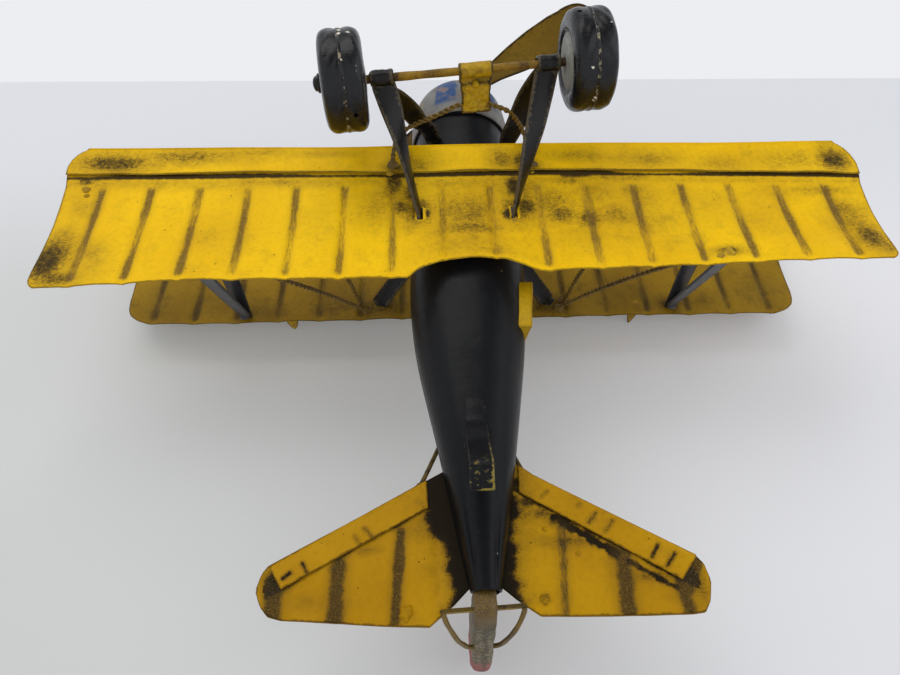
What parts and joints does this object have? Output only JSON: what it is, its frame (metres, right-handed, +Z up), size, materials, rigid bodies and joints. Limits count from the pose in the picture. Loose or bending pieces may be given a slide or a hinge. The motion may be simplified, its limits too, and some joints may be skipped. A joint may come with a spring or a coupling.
{
  "type": "biplane scale model",
  "caption": "Free-standing tinplate biplane with hollow shells, strut and twisted-wire bracing, rolling wheels on a fixed axle and a propeller that spins.",
  "frame": {"origin": "bottom centre of the bounding box, on the ground plane under the wheels and the tail skid", "axes": "+Z up, nose towards -Y, +X towards the aircraft's left wing tip, standing tail-down"},
  "size_m": [0.3392, 0.2826, 0.1346],
  "materials": {
    "yellow_paint": "worn satin",
    "black_paint": "semi-gloss, chipped",
    "strut_paint": "satin",
    "cowl_paint": "weathered, streaked",
    "rudder_paint": "weathered",
    "engine_paint": "satin",
    "wheel_paint": "gloss, chipped",
    "hub_disc_paint": "worn grey",
    "bare_steel": "dull",
    "twisted_wire": "aged, painted over",
    "trim_metal": "satin",
    "seat_paint": "satin"
  },
  "bodies": {
    "airframe": {"axle": "yellow_paint", "axle_bracket": "yellow_paint", "belly_shell": "black_paint", "boarding_step": "yellow_paint", "bracket_rivet": "yellow_paint", "engine_face": "engine_paint", "fin": "yellow_paint", "firewall": "black_paint", "front_cockpit_rim": "trim_metal", "front_seat": "seat_paint", "front_windscreen": "trim_metal", "left_axle_cap": "black_paint", "left_tail_stay": "twisted_wire", "left_front_bracing_wire": "twisted_wire", "left_front_cabane_strut": "black_paint", "left_front_gear_leg": "black_paint", "left_gear_wire": "twisted_wire", "left_interplane_strut": "strut_paint", "left_king_post": "yellow_paint", "left_rear_bracing_wire": "twisted_wire", "left_rear_cabane_strut": "black_paint", "left_rear_gear_leg": "black_paint", "left_tailplane": "yellow_paint", "lower_wing": "yellow_paint", "nose_cowl": "cowl_paint", "rear_cockpit_rim": "trim_metal", "rear_seat": "seat_paint", "rear_windscreen": "trim_metal", "right_axle_cap": "black_paint", "right_tail_stay": "twisted_wire", "right_front_bracing_wire": "twisted_wire", "right_front_cabane_strut": "black_paint", "right_front_gear_leg": "black_paint", "right_gear_wire": "twisted_wire", "right_interplane_strut": "strut_paint", "right_king_post": "yellow_paint", "right_rear_bracing_wire": "twisted_wire", "right_rear_cabane_strut": "black_paint", "right_rear_gear_leg": "black_paint", "right_tailplane": "yellow_paint", "rudder": "rudder_paint", "tail_skid": "black_paint", "tail_spreader_bar": "yellow_paint", "tail_wire_hoop": "twisted_wire", "top_deck": "black_paint", "upper_wing": "yellow_paint"},
    "left_wheel": {"left_wheel_hub_discs": "hub_disc_paint", "left_wheel_hub_tube": "bare_steel", "left_wheel_inner_half": "wheel_paint", "left_wheel_outer_half": "wheel_paint"},
    "propeller_body": {"propeller": "yellow_paint", "propeller_shaft": "bare_steel", "propeller_spacer": "yellow_paint", "shaft_collar": "bare_steel", "spinner_nut": "yellow_paint"},
    "right_wheel": {"right_wheel_hub_discs": "hub_disc_paint", "right_wheel_hub_tube": "bare_steel", "right_wheel_inner_half": "wheel_paint", "right_wheel_outer_half": "wheel_paint"}
  },
  "joints": [
    {"name": "propeller_spin", "type": "hinge", "parent": "airframe", "child": "propeller_body", "pos_m": [0, -0.12531, 0.09232], "axis": [0, -0.9552, 0.2961], "continuous": true},
    {"name": "left_wheel_spin", "type": "hinge", "parent": "airframe", "child": "left_wheel", "pos_m": [0.049, -0.09004, 0.01931], "axis": [0.9968, -0.0797, -0.0029], "continuous": true},
    {"name": "right_wheel_spin", "type": "hinge", "parent": "airframe", "child": "right_wheel", "pos_m": [-0.04784, -0.08204, 0.01918], "axis": [0.9935, -0.1065, 0.0399], "continuous": true}
  ]
}
